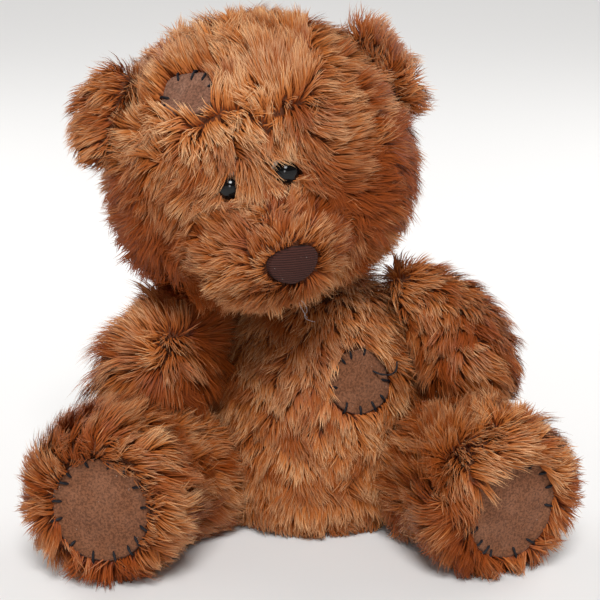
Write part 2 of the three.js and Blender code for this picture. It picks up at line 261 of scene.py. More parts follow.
def add_key_light():
    """A broad soft light from above and in front, even over the whole floor."""
    light = bpy.data.lights.new("key", "SUN")
    light.energy = KEY_STRENGTH
    light.angle = KEY_ANGLE
    aimed(light, KEY_PLACE)


def add_area_light(name, place, size, power):
    light = bpy.data.lights.new(name, "AREA")
    light.shape = "DISK"
    light.size = size
    light.energy = power
    aimed(light, place)


def add_floor():
    """A plain pale floor."""
    turns = ((-1, -1), (1, -1), (1, 1), (-1, 1))
    corners = [(x * FLOOR_HALF, y * FLOOR_HALF, 0) for x, y in turns]
    floor = mesh_object("floor", corners, [(0, 1, 2, 3)])
    material = bpy.data.materials.new("pale_floor")
    material.use_nodes = True
    shader = material.node_tree.nodes["Principled BSDF"]
    shader.inputs["Base Color"].default_value = FLOOR_COLOUR
    shader.inputs["Roughness"].default_value = 1.0
    shader.inputs["Specular IOR Level"].default_value = 0.0
    floor.data.materials.append(material)


def add_world():
    """Soft light from overhead, and a pale wall of light behind the far edge of the floor."""
    scene = bpy.context.scene
    scene.view_settings.view_transform = "Standard"
    world = bpy.data.worlds.new("studio")
    world.use_nodes = True
    tree = world.node_tree
    sky = tree.nodes["Background"]
    height = node(tree, "SeparateXYZ")
    feed(tree, height.inputs[0], node(tree, "TexCoord").outputs["Generated"])
    sky.inputs["Color"].default_value = SKY_COLOUR
    overhead = ranged(tree, height.outputs["Z"], 0.0, 1.0, 0.03, SKY_STRENGTH)
    horizon = ranged(tree, height.outputs["Z"], 0.14, 0.3, HORIZON_STRENGTH, 0.0)
    feed(tree, sky.inputs["Strength"], calculated(tree, "ADD", overhead, horizon))
    scene.world = world


def add_studio():
    add_world()
    add_key_light()
    for name, (place, size, power) in LAMPS.items():
        add_area_light(name, place, size, power)
    add_floor()


# ------------------------ shader node groups
def new_group(name, inputs, outputs):
    """A node group with named sockets. Returns it, its input node's outputs and its output node."""
    tree = bpy.data.node_groups.new(name, "ShaderNodeTree")
    for kind, entries in (("INPUT", inputs), ("OUTPUT", outputs)):
        for label, socket, value in entries:
            item = tree.interface.new_socket(label, in_out=kind, socket_type="NodeSocket" + socket)
            if value is not None:
                item.default_value = value
    given = tree.nodes.new("NodeGroupInput").outputs
    wanted = tree.nodes.new("NodeGroupOutput").inputs
    return tree, given, wanted


def node(tree, kind, **settings):
    made = tree.nodes.new("ShaderNode" + kind)
    for key, value in settings.items():
        setattr(made, key, value)
    return made


def feed(tree, socket, value):
    """Links a socket to another socket, or sets its value."""
    if isinstance(value, bpy.types.NodeSocket):
        tree.links.new(value, socket)
    else:
        socket.default_value = value


def mixed(tree, factor, a, b, blend="MIX"):
    """The colour between a and b."""
    mix = node(tree, "Mix", data_type="RGBA", blend_type=blend, clamp_factor=True)
    feed(tree, mix.inputs[0], factor)
    feed(tree, mix.inputs[6], a)
    feed(tree, mix.inputs[7], b)
    return mix.outputs[2]


def ranged(tree, value, from_low, from_high, to_low=0.0, to_high=1.0):
    scale = node(tree, "MapRange", interpolation_type="SMOOTHSTEP")
    for socket, v in zip(scale.inputs, (value, from_low, from_high, to_low, to_high)):
        feed(tree, socket, v)
    return scale.outputs["Result"]


def calculated(tree, operation, a, b=0.0):
    step = node(tree, "Math", operation=operation)
    feed(tree, step.inputs[0], a)
    feed(tree, step.inputs[1], b)
    return step.outputs[0]


def noise_of(tree, vector, scale, detail=3.0, roughness=0.5):
    texture = node(tree, "TexNoise")
    feed(tree, texture.inputs["Vector"], vector)
    feed(tree, texture.inputs["Scale"], scale)
    texture.inputs["Detail"].default_value = detail
    texture.inputs["Roughness"].default_value = roughness
    return texture.outputs["Fac"]


def pile_colour_group():
    """A strand's colour from its tone and the share of the way from root to tip."""
    colours = ("Shade Root", "Shade Tip", "Light Root", "Light Body", "Light Tip")
    inputs = [("Tone", "Float", 0.5), ("Along", "Float", 0.5)]
    inputs += [(label, "Color", (0.5, 0.5, 0.5, 1)) for label in colours]
    tree, given, wanted = new_group("pile colour", inputs, [("Color", "Color", None)])
    low = ranged(tree, given["Along"], 0.0, 0.65)
    high = ranged(tree, given["Along"], 0.55, 1.0)
    shade = mixed(tree, low, given["Shade Root"], given["Shade Tip"])
    light = mixed(tree, low, given["Light Root"], given["Light Body"])
    light = mixed(tree, high, light, given["Light Tip"])
    feed(tree, wanted["Color"], mixed(tree, given["Tone"], shade, light))
    return tree


def nap_group():
    """Brushed suede: the mottle of its nap, scuffed patches and the height of its fine grain."""
    inputs = [
        ("Vector", "Vector", None), ("Base", "Color", (0.2, 0.1, 0.05, 1)),
        ("Scuffed", "Color", (0.4, 0.25, 0.15, 1)), ("Stained", "Color", (0.1, 0.05, 0.03, 1)),
        ("Wear", "Float", 0.5),
    ]
    outputs = [("Color", "Color", None), ("Roughness", "Float", None), ("Height", "Float", None)]
    tree, given, wanted = new_group("suede nap", inputs, outputs)
    brushed = ranged(tree, noise_of(tree, given["Vector"], NOISE["brushed"], 4.0, 0.6), 0.35, 0.7)
    stains = ranged(tree, noise_of(tree, given["Vector"], NOISE["stains"], 2.0), 0.5, 0.75)
    grain = noise_of(tree, given["Vector"], NOISE["grain"], 2.0, 0.7)
    scuffs = calculated(tree, "MULTIPLY", brushed, given["Wear"])
    colour = mixed(tree, scuffs, given["Base"], given["Scuffed"])
    colour = mixed(tree, calculated(tree, "MULTIPLY", stains, 0.45), colour, given["Stained"])
    speckle = ranged(tree, grain, 0.32, 0.68, 0.62, 1.3)
    shade = node(tree, "CombineColor")
    for socket in shade.inputs:
        feed(tree, socket, speckle)
    feed(tree, wanted["Color"], mixed(tree, 1.0, colour, shade.outputs[0], "MULTIPLY"))
    feed(tree, wanted["Roughness"], ranged(tree, brushed, 0.0, 1.0, 0.98, 0.85))
    brushed_height = calculated(tree, "MULTIPLY", brushed, 0.6)
    feed(tree, wanted["Height"], calculated(tree, "ADD", grain, brushed_height))
    return tree


def rib_group():
    """Fine parallel ribs, as in corded cloth or twisted thread: a mask that paints shade into their
    grooves, and their height.
    """
    inputs = [("Vector", "Vector", None), ("Pitch", "Float", 500.0), ("Unevenness", "Float", 1.0)]
    outputs = [("Painted Groove Shade", "Float", None), ("Height", "Float", None)]
    tree, given, wanted = new_group("fine ribs", inputs, outputs)
    wave = node(tree, "TexWave", wave_type="BANDS", bands_direction="Z", wave_profile="SIN")
    feed(tree, wave.inputs["Vector"], given["Vector"])
    feed(tree, wave.inputs["Scale"], given["Pitch"])
    feed(tree, wave.inputs["Distortion"], given["Unevenness"])
    wave.inputs["Detail"].default_value = 2.0
    wave.inputs["Detail Scale"].default_value = 1.5
    slub = noise_of(tree, given["Vector"], NOISE["slubs"], 2.0, 0.6)
    height = calculated(tree, "ADD", wave.outputs["Fac"], calculated(tree, "MULTIPLY", slub, 0.5))
    feed(tree, wanted["Height"], height)
    feed(tree, wanted["Painted Groove Shade"], ranged(tree, height, 0.15, 0.9, 1.0, 0.0))
    return tree


def lint_group():
    """Pale specks of lint and dust caught on cloth."""
    inputs = [
        ("Vector", "Vector", None), ("Color", "Color", (0.1, 0.1, 0.1, 1)),
        ("Amount", "Float", 0.5),
    ]
    tree, given, wanted = new_group("lint", inputs, [("Color", "Color", None)])
    cells = node(tree, "TexVoronoi", feature="F1")
    feed(tree, cells.inputs["Vector"], given["Vector"])
    cells.inputs["Scale"].default_value = NOISE["specks"]
    specks = ranged(tree, cells.outputs["Distance"], 0.0, 0.16, 1.0, 0.0)
    cover = noise_of(tree, given["Vector"], NOISE["speck_groups"], 1.0)
    sparse = ranged(tree, cover, 0.56, 0.66)
    caught = calculated(tree, "MULTIPLY", specks, sparse)
    mask = calculated(tree, "MULTIPLY", caught, given["Amount"])
    feed(tree, wanted["Color"], mixed(tree, mask, given["Color"], LINT_COLOUR))
    return tree


GROUPS = {
    "pile": pile_colour_group(),
    "nap": nap_group(),
    "ribs": rib_group(),
    "lint": lint_group(),
}


# ------------------------ materials
def new_material(name, roughness, sheen=0.0, specular=0.5):
    material = bpy.data.materials.new(name)
    material.use_nodes = True
    shader = material.node_tree.nodes["Principled BSDF"]
    shader.inputs["Roughness"].default_value = roughness
    shader.inputs["Specular IOR Level"].default_value = specular
    shader.inputs["Sheen Weight"].default_value = sheen
    shader.inputs["Sheen Roughness"].default_value = 0.5
    return material, material.node_tree, shader


def placed(tree, group, **values):
    """One of the shared groups in a material, with its own values."""
    made = node(tree, "Group", node_tree=GROUPS[group])
    for label, value in values.items():
        feed(tree, made.inputs[label.replace("_", " ")], value)
    return made.outputs


def bump(tree, shader, height, distance, strength=1.0):
    relief = node(tree, "Bump")
    relief.inputs["Distance"].default_value = distance
    relief.inputs["Strength"].default_value = strength
    feed(tree, relief.inputs["Height"], height)
    feed(tree, shader.inputs["Normal"], relief.outputs["Normal"])


def coloured(tree, shader, mask, a, b):
    """Sets a material's colour between two, by a mask."""
    feed(tree, shader.inputs["Base Color"], mixed(tree, mask, (*a, 1), (*b, 1)))


def object_place(tree):
    return node(tree, "TexCoord").outputs["Object"]


def pile_material(name, colours):
    material, tree, shader = new_material(name, 0.4, specular=0.10)
    place = node(tree, "UVMap", uv_map="OFBake")
    split = node(tree, "SeparateXYZ")
    feed(tree, split.inputs[0], place.outputs[0])
    values = {label: (*colour, 1) for label, colour in colours.items()}
    out = placed(tree, "pile", Tone=split.outputs["X"], Along=split.outputs["Y"], **values)
    feed(tree, shader.inputs["Base Color"], out["Color"])
    return material


def backing_material():
    """The matted foot of the pile and the knit under it, seen only between the locks. Its dark
    colour is partly painted shade, for the deep shadow between the locks.
    """
    material, tree, shader = new_material("pile_backing_painted_shade", 0.95)
    place = object_place(tree)
    matted = noise_of(tree, place, NOISE["matting"], 4.0, 0.7)
    # Painted shade: both colours are dark, so the gaps in the pile read as deep shadow.
    coloured(tree, shader, matted, (0.06, 0.014, 0.004), (0.20, 0.055, 0.014))
    bump(tree, shader, matted, 1.2 * MM)
    return material


def suede_material(name, base, scuffed, stained, wear):
    material, tree, shader = new_material(name, 0.95, sheen=0.12, specular=0.12)
    place = object_place(tree)
    out = placed(tree, "nap", Vector=place, Base=(*base, 1), Scuffed=(*scuffed, 1),
                 Stained=(*stained, 1), Wear=wear)
    lint = placed(tree, "lint", Vector=place, Color=out["Color"], Amount=0.5)
    feed(tree, shader.inputs["Base Color"], lint["Color"])
    feed(tree, shader.inputs["Roughness"], out["Roughness"])
    bump(tree, shader, out["Height"], 0.25 * MM, 0.7)
    return material


def nose_material():
    material, tree, shader = new_material("nose_cloth", 0.75, sheen=0.05, specular=0.2)
    place = object_place(tree)
    ribs = placed(tree, "ribs", Vector=place, Pitch=290.0, Unevenness=0.8)
    # Painted shade: the grooves between the ribs take the darker colour.
    colour = mixed(tree, ribs["Painted Groove Shade"], (0.056, 0.0155, 0.0105, 1), (0.015, 0.004, 0.003, 1))
    lint = placed(tree, "lint", Vector=place, Color=colour, Amount=0.6)
    feed(tree, shader.inputs["Base Color"], lint["Color"])
    bump(tree, shader, ribs["Height"], 0.25 * MM)
    return material


def thread_material(name, dark, light):
    material, tree, shader = new_material(name, 0.6, specular=0.25)
    place = object_place(tree)
    ribs = placed(tree, "ribs", Vector=place, Pitch=900.0, Unevenness=2.0)
    # Painted shade: the grooves between the plies take the dark colour.
    coloured(tree, shader, ribs["Painted Groove Shade"], light, dark)
    bump(tree, shader, ribs["Height"], 0.05 * MM, 0.5)
    return material


def eye_material():
    material, tree, shader = new_material("eye_plastic", 0.06, specular=0.35)
    place = object_place(tree)
    haze = noise_of(tree, place, NOISE["eye_haze"], 3.0, 0.6)
    coloured(tree, shader, haze, (0.0016, 0.0016, 0.002), (0.006, 0.005, 0.005))
    feed(tree, shader.inputs["Roughness"], ranged(tree, haze, 0.45, 0.75, 0.05, 0.16))
    return material


def washer_material():
    material, tree, shader = new_material("washer_plastic", 0.45)
    haze = noise_of(tree, object_place(tree), NOISE["washer_haze"], 3.0, 0.6)
    coloured(tree, shader, haze, (0.62, 0.62, 0.59), (0.74, 0.74, 0.71))
    feed(tree, shader.inputs["Roughness"], ranged(tree, haze, 0.3, 0.7, 0.38, 0.52))
    return material


PLUSH_COLOURS = {
    "Shade_Root": (0.105, 0.015, 0.0020), "Shade_Tip": (0.25, 0.048, 0.0065),
    "Light_Root": (0.31, 0.062, 0.0095), "Light_Body": (0.55, 0.185, 0.046),
    "Light_Tip": (0.88, 0.55, 0.29),
}
EAR_COLOURS = {
    "Shade_Root": (0.100, 0.014, 0.0020), "Shade_Tip": (0.24, 0.044, 0.006),
    "Light_Root": (0.28, 0.052, 0.008), "Light_Body": (0.54, 0.17, 0.040),
    "Light_Tip": (0.86, 0.52, 0.27),
}
MATERIALS = {
    "plush": pile_material("plush_pile", PLUSH_COLOURS),
    "ear_plush": pile_material("ear_pile", EAR_COLOURS),
    "backing": backing_material(),
    "suede": suede_material("patch_suede", (0.156, 0.060, 0.028), (0.220, 0.096, 0.052),
                            (0.100, 0.036, 0.017), 0.55),
    # Painted light: a paler copy of the patch suede for the head patch, which faces up into the
    # light.
    "suede_painted_lit": suede_material("patch_suede_painted_lit", (0.182, 0.081, 0.049), (0.258, 0.135, 0.089),
                                 (0.105, 0.042, 0.024), 0.6),
    "nose": nose_material(),
    "thread": thread_material("black_thread", (0.002, 0.002, 0.003), (0.010, 0.010, 0.014)),
    "pale_thread": thread_material("pale_thread", (0.15, 0.14, 0.15), (0.34, 0.33, 0.34)),
    "eye": eye_material(),
    "washer": washer_material(),
}


# ------------------------ padded skins
def copied(name, nodes):
    """One mesh from copies of these CAD nodes."""
    whole = bmesh.new()
    for part in nodes:
        whole.from_mesh(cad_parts[part].data)
    mesh = bpy.data.meshes.new(name)
    whole.to_mesh(mesh)
    whole.free()
    return link(bpy.data.objects.new(name, mesh))


def applied(obj):
    """Puts a piece's modifiers into its mesh."""
    shown = obj.evaluated_get(bpy.context.evaluated_depsgraph_get())
    mesh = bpy.data.meshes.new_from_object(shown)
    obj.modifiers.clear()
    obj.data = mesh


def only_largest(obj):
    """Keeps only the largest loose part of a mesh, and smooths the steps left by the voxels."""
    body = bmesh.new()
    body.from_mesh(obj.data)
    todo = set(body.verts)
    best = []
    while todo:
        island = [todo.pop()]
        for vert in island:
            for edge in vert.link_edges:
                other = edge.other_vert(vert)
                if other in todo:
                    todo.discard(other)
                    island.append(other)
        best = max(best, island, key=len)
    keep = set(best)
    bmesh.ops.delete(body, geom=[v for v in body.verts if v not in keep], context="VERTS")
    for _ in range(5):
        bmesh.ops.smooth_vert(body, verts=body.verts, factor=0.5,
                              use_axis_x=True, use_axis_y=True, use_axis_z=True)
    body.to_mesh(obj.data)
    body.free()


def nearest_panel(points, panels):
    """For each point, the number of the CAD panel that it is nearest to."""
    trees = []
    for part in panels:
        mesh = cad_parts[part].data
        trees.append(BVHTree.FromPolygons(vertices_of(mesh).tolist(), triangles_of(mesh).tolist()))
    away = [[tree.find_nearest(p)[3] for p in points.tolist()] for tree in trees]
    return np.argmin(np.array(away), axis=0)


def on_seams(mesh, labels):
    """The corners where a panel meets its neighbour."""
    edges = table_of(mesh.edges, "vertices", 2, np.int32)
    crossing = edges[labels[edges[:, 0]] != labels[edges[:, 1]]]
    return sorted(set(crossing.ravel().tolist()))


def swollen(obj, pinned):
    """Blows the skin up like a tight bag, held in along its seams."""
    rest = vertices_of(obj.data)
    if pinned:
        obj.vertex_groups.new(name="seams").add(pinned, 1.0, "REPLACE")
    cloth = obj.modifiers.new("swell", "CLOTH")
    cloth.settings.quality = 4
    cloth.settings.use_pressure = True
    cloth.settings.uniform_pressure_force = 4.0
    cloth.settings.effector_weights.gravity = 0.0
    if pinned:
        cloth.settings.vertex_group_mass = "seams"
    cloth.point_cache.frame_end = SWELL_FRAMES
    for step in range(1, SWELL_FRAMES + 1):
        bpy.context.scene.frame_set(step)
    applied(obj)
    obj.vertex_groups.clear()
    bpy.context.scene.frame_set(1)
    move = vertices_of(obj.data) - rest
    far = np.linalg.norm(move, axis=1, keepdims=True)
    moved = rest + move * np.minimum(1.0, SWELL / np.maximum(far, 1e-9))
    obj.data.vertices.foreach_set("co", moved.astype(np.float32).ravel())
    obj.data.update()


def make_skin(name, panels, filling, inset=BACKING, voxel=VOXEL):
    """A padded part's backing, swollen between its seams. It stands for panels and filling."""
    skin = copied(name, panels + filling)
    remesh = skin.modifiers.new("remesh", "REMESH")
    remesh.mode = "VOXEL"
    remesh.voxel_size = voxel
    applied(skin)
    only_largest(skin)
    mesh = skin.data
    labels = nearest_panel(vertices_of(mesh), panels)
    room = SWELL * 0.7
    sunk = vertices_of(mesh) - vertices_of(mesh, "normal") * (inset + room)
    mesh.vertices.foreach_set("co", sunk.astype(np.float32).ravel())
    mesh.update()
    swollen(skin, on_seams(mesh, labels))
    # The pile is rooted on a subdivided copy. The backing that it hides stays as coarse as it is.
    coarse = skin.data
    subdivide = skin.modifiers.new("subdivide", "SUBSURF")
    subdivide.levels = 1
    applied(skin)
    fine = skin.data
    ground = {
        "points": vertices_of(fine),
        "normals": vertices_of(fine, "normal"),
        "triangles": triangles_of(fine),
    }
    skin.data = coarse
    bpy.data.meshes.remove(fine)
    shaded_smooth(coarse)
    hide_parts(*panels, *filling)
    dressed(skin, MATERIALS["backing"])
    return {"object": skin, "panels": panels, **ground}


def make_skins():
    """The skin of every padded part. Ears are thin and hold no stuffing."""
    stuffed = {
        "torso": ["torso_front_panel", "torso_back_left_panel", "torso_back_right_panel"],
        "head": ["head_left_panel", "head_right_panel", "head_gusset", "muzzle_panel"],
    }
    skins = {part: make_skin(f"{part}_skin", panels, [f"{part}_stuffing"])
             for part, panels in stuffed.items()}
    for side in ("left", "right"):
        for limb in (f"arm_{side}", f"leg_{side}"):
            halves = [f"{limb}_outer_panel", f"{limb}_inner_panel"]
            skins[limb] = make_skin(f"{limb}_skin", halves, [f"{limb}_stuffing"])
        ear = f"ear_{side}"
        halves = [f"{ear}_front_panel", f"{ear}_back_panel"]
        skins[ear] = make_skin(f"{ear}_skin", halves, [], inset=EAR_BACKING, voxel=EAR_VOXEL)
    for skin in skins.values():
        skin["tree"] = BVHTree.FromPolygons(skin["points"].tolist(), skin["triangles"].tolist())
    return skins


# ------------------------ outlines of sewn-on cloth
class Outline:
    """The flat frame and the outline of a piece of cloth that is sewn on, read from its CAD node.

    Power 2 is an oval and more is squarer. Taper is how much wider its top is than its middle.
    Upright is the way its top points, before it is turned by some degrees.
    """

    def __init__(self, part, inside, power, upright=(0, 0, 1.0), turned=0.0, taper=0.0):
        points = vertices_of(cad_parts[part].data)
        self.centre = (points.min(0) + points.max(0)) / 2
        out = np.linalg.svd(points - points.mean(0), full_matrices=False)[2][2]
        out = out * np.sign(out @ (self.centre - inside))
        level = unit(np.cross(upright, out))
        up = np.cross(out, level)
        c, s = math.cos(math.radians(turned)), math.sin(math.radians(turned))
        self.axes = np.array([level * c + up * s, up * c - level * s, out])
        flat = (points - self.centre) @ self.axes.T
        middle = (flat.min(0) + flat.max(0)) / 2
        self.centre = self.centre + middle @ self.axes
        self.half = (flat.max(0) - flat.min(0))[:2] / 2
        self.power = power
        self.taper = taper

    def reach(self, points):
        """How far out points lie, as a share of the way to the outline, and their height."""
        flat = (points - self.centre) @ self.axes.T
        share = np.abs(flat[..., :2] / self.half)
        share[..., 0] /= 1 + self.taper * np.clip(flat[..., 1] / self.half[1], -1, 1)
        return (share ** self.power).sum(-1) ** (1 / self.power), flat[..., 2]

    def edge(self, angle):
        """The outline's point at an angle, in the flat frame."""
        flat = np.stack([np.cos(angle), np.sin(angle)], axis=-1)
        share = (np.abs(flat / self.half) ** self.power).sum(-1) ** (-1 / self.power)
        flat = flat * share[..., None]
        flat[..., 0] *= 1 + self.taper * flat[..., 1] / self.half[1]
        return flat

    def fullness(self):
        """The share of its box that the outline fills."""
        return math.gamma(1 + 1 / self.power) ** 2 / math.gamma(1 + 2 / self.power)

    def lifted(self, flat, height=0.0):
        """The point in space of a place in the flat frame."""
        return self.centre + flat @ self.axes[:2] + np.asarray(height)[..., None] * self.axes[2]


def cover_height(outline, skin, flat):
    """How high the skin lies under each place in an outline's flat frame."""
    above = 40 * MM
    heights = []
    for point in outline.lifted(flat, np.full(len(flat), above)).tolist():
        hit = skin["tree"].ray_cast(point, (-outline.axes[2]).tolist())[0]
        heights.append(np.nan if hit is None else
                       float((np.array(hit) - outline.centre) @ outline.axes[2]))
    heights = np.array(heights)
    heights[np.isnan(heights)] = np.nanmin(heights)
    return heights


def make_cover(name, outline, skin, lift, crown, thickness, rings=26, around=112, stitches=(),
               waviness=0.015, seed=0):
    """A piece of cloth laid on a skin: crowned, with a rounded edge that the stitches pull down."""
    angles = np.linspace(0, 2 * math.pi, around, endpoint=False)
    rng = np.random.default_rng(SEED + seed)
    uneven = sum(
        np.cos(k * angles + rng.uniform(0, 2 * math.pi)) * waviness / k for k in range(2, 9)
    )
    edge = outline.edge(angles) * (1 + uneven[:, None])
    shares = np.linspace(0, 1, rings + 1)[1:] ** 0.85
    flat = np.concatenate([[[0.0, 0.0]]] + [edge * share for share in shares])
    reach = np.concatenate([[0.0]] + [np.full(around, share) for share in shares])
    turn = np.concatenate([[0.0]] + [angles for _ in shares])
    pulls = np.zeros(len(flat))
    for stitch in stitches:
        gap = np.angle(np.exp(1j * (turn - stitch)))
        outer = np.clip((reach - PULL_STARTS) / (1 - PULL_STARTS), 0, 1)
        pulls += np.exp(-(gap / PULL_WIDTH) ** 2) * outer
    base = cover_height(outline, skin, flat)
    for _ in range(2):
        smooth = base[1:].reshape(rings, around)
        smooth = (np.roll(smooth, 1, 1) + smooth * 2 + np.roll(smooth, -1, 1)) / 4
        base[1:] = smooth.ravel()
    rim = np.clip((reach - EDGE_ROUNDS) / (1 - EDGE_ROUNDS), 0, 1)
    rounding = np.sqrt(np.clip(1 - rim ** 2, 0, 1))
    top = base + lift + crown * (1 - reach ** 2) - thickness * (1 - rounding) - pulls * PULL
    under = base[1 + (rings - 1) * around:] + lift - thickness * 1.6
    points = np.concatenate([outline.lifted(flat, top), outline.lifted(edge * 0.985, under)])
    return mesh_object(name, points, cap_faces(around) + faces_between(1, rings + 1, around))


def make_thread(paths, name, radius, material, sides=8):
    """Lengths of twisted thread as closed tubes along paths of points."""
    points, faces = [], []
    round_it = np.linspace(0, 2 * math.pi, sides, endpoint=False)
    for path in paths:
        path = np.asarray(path, float)
        run = unit(np.gradient(path, axis=0))
        side = unit(np.cross(run, np.array([0.21, 0.35, 0.91])))
        rise = np.cross(side, run)
        walked = np.concatenate([[0], np.cumsum(np.linalg.norm(np.diff(path, axis=0), axis=1))])
        first = len(points)
        for k, centre in enumerate(path):
            taper = THREAD_END if k in (0, len(path) - 1) else 1.0
            groove = np.cos(PLIES * round_it - walked[k] * TWIST * PLIES)
            thick = radius * taper * (1 + PLY_DEPTH * groove)
            ring = np.cos(round_it)[:, None] * side[k] + np.sin(round_it)[:, None] * rise[k]
            points.extend(centre + ring * thick[:, None])
        faces += faces_between(first, len(path), sides, order=(0, 3, 2, 1))
        faces.append(range(first + sides - 1, first - 1, -1))
        faces.append(range(len(points) - sides, len(points)))
    return dressed(mesh_object(name, points, faces), material)


def surface_over(outline, skin, flat, lift):
    """Points that lie over a skin by some lift, from places in an outline's flat frame."""
    return outline.lifted(flat, cover_height(outline, skin, flat) + lift)


def whip_stitches(outline, skin, angles, lift, seed=0):
    """Big stitches over the edge of a sewn-on piece, each a short arch of thread."""
    rng = np.random.default_rng(SEED + 50 + seed)
    steps = np.linspace(0, 1, 9)
    paths = []
    for angle in angles:
        before, edge, after = outline.edge(angle + np.array([-0.05, 0, 0.05]))
        along = unit(after - before)
        out = np.array([along[1], -along[0]])
        lean = rng.uniform(-0.35, 0.35)
        start = edge - out * STITCH_IN * rng.uniform(0.85, 1.15) - along * lean * STITCH_IN
        end = edge + out * STITCH_OUT * rng.uniform(0.6, 1.3) + along * lean * STITCH_OUT
        flat = start + (end - start) * steps[:, None]
        arch = np.sin(steps * math.pi) ** 0.6 * STITCH_ARCH - STITCH_SUNK
        drop = np.where(steps > 0.72, (steps - 0.72) * 4.5 * MM, 0)
        paths.append(surface_over(outline, skin, flat, lift + arch - drop))
    return paths


# ------------------------ pile
USUAL_COAT = {
    "length": 15 * MM,        # from root to tip
    "lean": 1.0,              # radians that a strand has bent over by, half way up
    "tone": 0.5,              # 0 is the darkest strand, 1 the lightest
    "stray": 0.24,            # radians that a lock turns away from its neighbours
    "gather": 0.4,            # how far the strands of a lock draw together
    "swirl": 0.25,            # how much the lie of the pile wanders
    "droop": 0.15,            # how much its own weight turns it down
    "density": 1.0,
}


def coat(flow, **changes):
    """How one panel's pile is laid. Flow gives the way it is combed at each root."""
    return {**USUAL_COAT, "flow": flow, **changes}


def away_from(point):
    """A flow that fans out from a point."""
    return lambda roots: unit(roots - point)


def towards(*direction):
    """A flow with one heading all over."""
    return lambda roots: np.broadcast_to(unit(np.array(direction, float)), roots.shape).copy()


def combed(*shares):
    """A mix of several flows, each with its weight."""
    return lambda roots: unit(sum(weight * flow(roots) for flow, weight in shares))


def spread_roots(skin, density, rng):
    """Roots spread evenly over a skin, with the skin's normal at each."""
    a, b, c = (skin["points"][skin["triangles"][:, i]] for i in range(3))
    area = np.linalg.norm(np.cross(b - a, c - a), axis=1) / 2
    count = int(area.sum() / MM ** 2 * density)
    pick = rng.choice(len(area), count, p=area / area.sum())
    u, v = rng.random((2, count, 1))
    u, v = np.where(u + v > 1, 1 - u, u), np.where(u + v > 1, 1 - v, v)
    weights = (1 - u - v, u, v)
    corners = skin["triangles"][pick]
    root = sum(w * skin["points"][corners[:, i]] for i, w in enumerate(weights))
    normal = unit(sum(w * skin["normals"][corners[:, i]] for i, w in enumerate(weights)))
    return root, normal


def buried(points, skins):
    """Which points lie inside one of these skins."""
    inside = np.zeros(len(points), bool)
    for skin in skins:
        low, high = skin["points"].min(0), skin["points"].max(0)
        near = np.nonzero(((points > low) & (points < high)).all(1))[0]
        for i in near:
            place, normal, _, _ = skin["tree"].find_nearest(points[i].tolist())
            if (Vector(points[i].tolist()) - place).dot(normal) < 0:
                inside[i] = True
    return inside


def turned_about(vectors, axes, angles):
    """Vectors square to their axes, turned about them."""
    across = np.cross(axes, vectors)
    return vectors * np.cos(angles)[:, None] + across * np.sin(angles)[:, None]


def nearest_of(points, centres):
    tree = KDTree(len(centres))
    for i, centre in enumerate(centres.tolist()):
        tree.insert(centre, i)
    tree.balance()
    return np.array([tree.find(p)[1] for p in points.tolist()])


def over_cloth(outlines, root, path, loose):
    """Which strands lie over a sewn-on piece further in than its edge lets them."""
    over = np.zeros(len(root), bool)
    lowest, highest = CLOTH_BAND
    for outline, clear, limit in outlines:
        reach, height = outline.reach(root)
        over |= (reach < clear) & (np.abs(height) < CLOTH_NEAR)
        reach, height = outline.reach(path[:, 1:])
        inner = (limit - loose)[:, None]
        over |= ((reach < inner) & (height > lowest) & (height < highest)).any(1)
    return over


def bent(root, normal, flow, length, lean):
    """The points of each strand, which rises from its root and bends over towards the flow."""
    path = [root]
    for share in BENDS:
        angle = lean * share
        heading = normal * np.cos(angle)[:, None] + flow * np.sin(angle)[:, None]
        path.append(path[-1] + heading * (length / 3)[:, None])
    return np.stack(path, axis=1)


